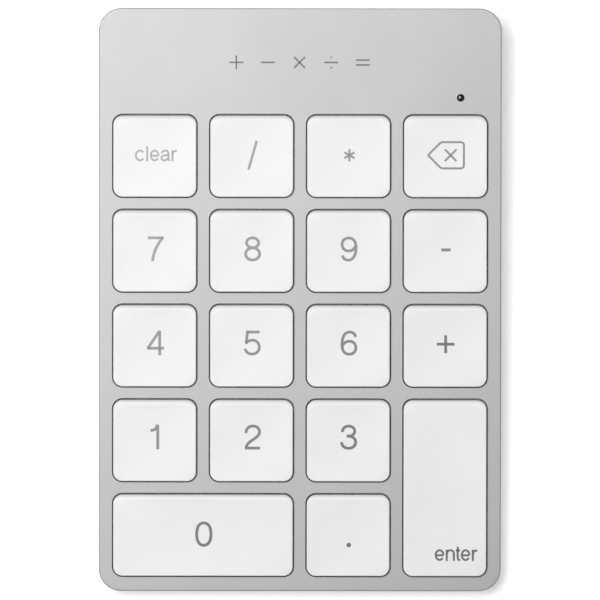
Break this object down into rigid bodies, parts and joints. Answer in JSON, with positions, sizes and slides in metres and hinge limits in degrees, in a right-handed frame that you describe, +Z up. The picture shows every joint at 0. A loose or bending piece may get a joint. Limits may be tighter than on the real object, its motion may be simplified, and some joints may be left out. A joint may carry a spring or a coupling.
{
  "type": "numeric keypad",
  "caption": "Slim wedge-shaped wireless numeric keypad with an aluminium case, white scissor keys, a double-width zero key and a double-height enter key",
  "frame": {"origin": "middle of the case on the surface that the feet stand on", "axes": "+X to the user's right, +Y to the rear edge, +Z up; the deck slopes up towards +Y"},
  "size_m": [0.079, 0.1144, 0.0105],
  "materials": {
    "case_aluminium": "fine bead-blasted and clear anodised",
    "cover_plastic": "moulded, fine spark texture",
    "foot_rubber": "matte moulded",
    "screw_steel": "zinc plated",
    "keycap_plastic": "satin moulded, grey printed legends",
    "lever_plastic": "natural moulded",
    "dome_silicone": "translucent grey, satin",
    "membrane_film": "clear film with printed silver tracks",
    "plate_steel": "galvanised, stamped",
    "wire_steel": "drawn spring wire",
    "board_laminate": "green solder mask",
    "battery_foil": "laminated pouch foil",
    "socket_steel": "nickel plated, drawn",
    "black_plastic": "moulded",
    "lens_acrylic": "polished"
  },
  "bodies": {
    "root": {"top_case": "case_aluminium", "bottom_cover": "cover_plastic", "foot_front_left": "foot_rubber", "foot_front_right": "foot_rubber", "foot_rear_left": "foot_rubber", "foot_rear_right": "foot_rubber", "cover_screw_rear_left": "screw_steel", "cover_screw_rear_right": "screw_steel", "cover_screw_middle_left": "screw_steel", "cover_screw_middle_right": "screw_steel", "support_plate": "plate_steel", "switch_membrane": "membrane_film", "dome_sheet": "dome_silicone", "main_board": "board_laminate", "battery_cell": "battery_foil", "usb_socket": "socket_steel", "usb_tongue": "black_plastic", "power_switch_body": "black_plastic", "pair_switch_body": "black_plastic", "status_led": "lens_acrylic", "scissor_clear": "lever_plastic", "scissor_divide": "lever_plastic", "scissor_multiply": "lever_plastic", "scissor_backspace": "lever_plastic", "scissor_7": "lever_plastic", "scissor_8": "lever_plastic", "scissor_9": "lever_plastic", "scissor_minus": "lever_plastic", "scissor_4": "lever_plastic", "scissor_5": "lever_plastic", "scissor_6": "lever_plastic", "scissor_plus": "lever_plastic", "scissor_1": "lever_plastic", "scissor_2": "lever_plastic", "scissor_3": "lever_plastic", "scissor_enter": "lever_plastic", "scissor_0": "lever_plastic", "scissor_point": "lever_plastic"},
    "key_clear": {"keycap_clear": "keycap_plastic"},
    "key_divide": {"keycap_divide": "keycap_plastic"},
    "key_multiply": {"keycap_multiply": "keycap_plastic"},
    "key_backspace": {"keycap_backspace": "keycap_plastic"},
    "key_7": {"keycap_7": "keycap_plastic"},
    "key_8": {"keycap_8": "keycap_plastic"},
    "key_9": {"keycap_9": "keycap_plastic"},
    "key_minus": {"keycap_minus": "keycap_plastic"},
    "key_4": {"keycap_4": "keycap_plastic"},
    "key_5": {"keycap_5": "keycap_plastic"},
    "key_6": {"keycap_6": "keycap_plastic"},
    "key_plus": {"keycap_plus": "keycap_plastic"},
    "key_1": {"keycap_1": "keycap_plastic"},
    "key_2": {"keycap_2": "keycap_plastic"},
    "key_3": {"keycap_3": "keycap_plastic"},
    "key_enter": {"keycap_enter": "keycap_plastic"},
    "key_0": {"keycap_0": "keycap_plastic"},
    "key_point": {"keycap_point": "keycap_plastic"},
    "wire_0": {"stabiliser_bar_0": "wire_steel"},
    "wire_enter": {"stabiliser_bar_enter": "wire_steel"},
    "power_knob": {"power_slider": "black_plastic"},
    "pair_knob": {"pair_button": "black_plastic"}
  },
  "joints": [
    {"name": "press_clear", "type": "slide", "parent": "root", "child": "key_clear", "axis": [0, 0.0419, -0.9991], "range_m": [0, 0.0015], "stiffness_N_per_m": 350, "springref_m": -0.0003, "deforming": ["scissor_clear", "dome_sheet"]},
    {"name": "press_divide", "type": "slide", "parent": "root", "child": "key_divide", "axis": [0, 0.0419, -0.9991], "range_m": [0, 0.0015], "stiffness_N_per_m": 350, "springref_m": -0.0003, "deforming": ["scissor_divide", "dome_sheet"]},
    {"name": "press_multiply", "type": "slide", "parent": "root", "child": "key_multiply", "axis": [0, 0.0419, -0.9991], "range_m": [0, 0.0015], "stiffness_N_per_m": 350, "springref_m": -0.0003, "deforming": ["scissor_multiply", "dome_sheet"]},
    {"name": "press_backspace", "type": "slide", "parent": "root", "child": "key_backspace", "axis": [0, 0.0419, -0.9991], "range_m": [0, 0.0015], "stiffness_N_per_m": 350, "springref_m": -0.0003, "deforming": ["scissor_backspace", "dome_sheet"]},
    {"name": "press_7", "type": "slide", "parent": "root", "child": "key_7", "axis": [0, 0.0419, -0.9991], "range_m": [0, 0.0015], "stiffness_N_per_m": 350, "springref_m": -0.0003, "deforming": ["scissor_7", "dome_sheet"]},
    {"name": "press_8", "type": "slide", "parent": "root", "child": "key_8", "axis": [0, 0.0419, -0.9991], "range_m": [0, 0.0015], "stiffness_N_per_m": 350, "springref_m": -0.0003, "deforming": ["scissor_8", "dome_sheet"]},
    {"name": "press_9", "type": "slide", "parent": "root", "child": "key_9", "axis": [0, 0.0419, -0.9991], "range_m": [0, 0.0015], "stiffness_N_per_m": 350, "springref_m": -0.0003, "deforming": ["scissor_9", "dome_sheet"]},
    {"name": "press_minus", "type": "slide", "parent": "root", "child": "key_minus", "axis": [0, 0.0419, -0.9991], "range_m": [0, 0.0015], "stiffness_N_per_m": 350, "springref_m": -0.0003, "deforming": ["scissor_minus", "dome_sheet"]},
    {"name": "press_4", "type": "slide", "parent": "root", "child": "key_4", "axis": [0, 0.0419, -0.9991], "range_m": [0, 0.0015], "stiffness_N_per_m": 350, "springref_m": -0.0003, "deforming": ["scissor_4", "dome_sheet"]},
    {"name": "press_5", "type": "slide", "parent": "root", "child": "key_5", "axis": [0, 0.0419, -0.9991], "range_m": [0, 0.0015], "stiffness_N_per_m": 350, "springref_m": -0.0003, "deforming": ["scissor_5", "dome_sheet"]},
    {"name": "press_6", "type": "slide", "parent": "root", "child": "key_6", "axis": [0, 0.0419, -0.9991], "range_m": [0, 0.0015], "stiffness_N_per_m": 350, "springref_m": -0.0003, "deforming": ["scissor_6", "dome_sheet"]},
    {"name": "press_plus", "type": "slide", "parent": "root", "child": "key_plus", "axis": [0, 0.0419, -0.9991], "range_m": [0, 0.0015], "stiffness_N_per_m": 350, "springref_m": -0.0003, "deforming": ["scissor_plus", "dome_sheet"]},
    {"name": "press_1", "type": "slide", "parent": "root", "child": "key_1", "axis": [0, 0.0419, -0.9991], "range_m": [0, 0.0015], "stiffness_N_per_m": 350, "springref_m": -0.0003, "deforming": ["scissor_1", "dome_sheet"]},
    {"name": "press_2", "type": "slide", "parent": "root", "child": "key_2", "axis": [0, 0.0419, -0.9991], "range_m": [0, 0.0015], "stiffness_N_per_m": 350, "springref_m": -0.0003, "deforming": ["scissor_2", "dome_sheet"]},
    {"name": "press_3", "type": "slide", "parent": "root", "child": "key_3", "axis": [0, 0.0419, -0.9991], "range_m": [0, 0.0015], "stiffness_N_per_m": 350, "springref_m": -0.0003, "deforming": ["scissor_3", "dome_sheet"]},
    {"name": "press_enter", "type": "slide", "parent": "root", "child": "key_enter", "axis": [0, 0.0419, -0.9991], "range_m": [0, 0.0015], "stiffness_N_per_m": 350, "springref_m": -0.0003, "deforming": ["scissor_enter", "dome_sheet"]},
    {"name": "press_0", "type": "slide", "parent": "root", "child": "key_0", "axis": [0, 0.0419, -0.9991], "range_m": [0, 0.0015], "stiffness_N_per_m": 350, "springref_m": -0.0003, "deforming": ["scissor_0", "dome_sheet"]},
    {"name": "press_point", "type": "slide", "parent": "root", "child": "key_point", "axis": [0, 0.0419, -0.9991], "range_m": [0, 0.0015], "stiffness_N_per_m": 350, "springref_m": -0.0003, "deforming": ["scissor_point", "dome_sheet"]},
    {"name": "swing_stabiliser_0", "type": "hinge", "parent": "key_0", "child": "wire_0", "pos_m": [-0.019, -0.0397, 0.00623], "axis": [-1, 0, 0], "range_deg": [0, 14.74]},
    {"name": "swing_stabiliser_enter", "type": "hinge", "parent": "key_enter", "child": "wire_enter", "pos_m": [0.035, -0.0369, 0.00635], "axis": [0, 0.9991, 0.0419], "range_deg": [0, 14.74]},
    {"name": "slide_power", "type": "slide", "parent": "root", "child": "power_knob", "axis": [1, 0, 0], "range_m": [0, 0.002]},
    {"name": "press_pair", "type": "slide", "parent": "root", "child": "pair_knob", "axis": [0, -1, 0], "range_m": [0, 0.0004], "stiffness_N_per_m": 1500, "springref_m": -0.0001}
  ],
  "couplings": [
    {"joint": "swing_stabiliser_0", "follows": "press_0", "rad_per_m": 170.94},
    {"joint": "swing_stabiliser_enter", "follows": "press_enter", "rad_per_m": 170.94}
  ]
}
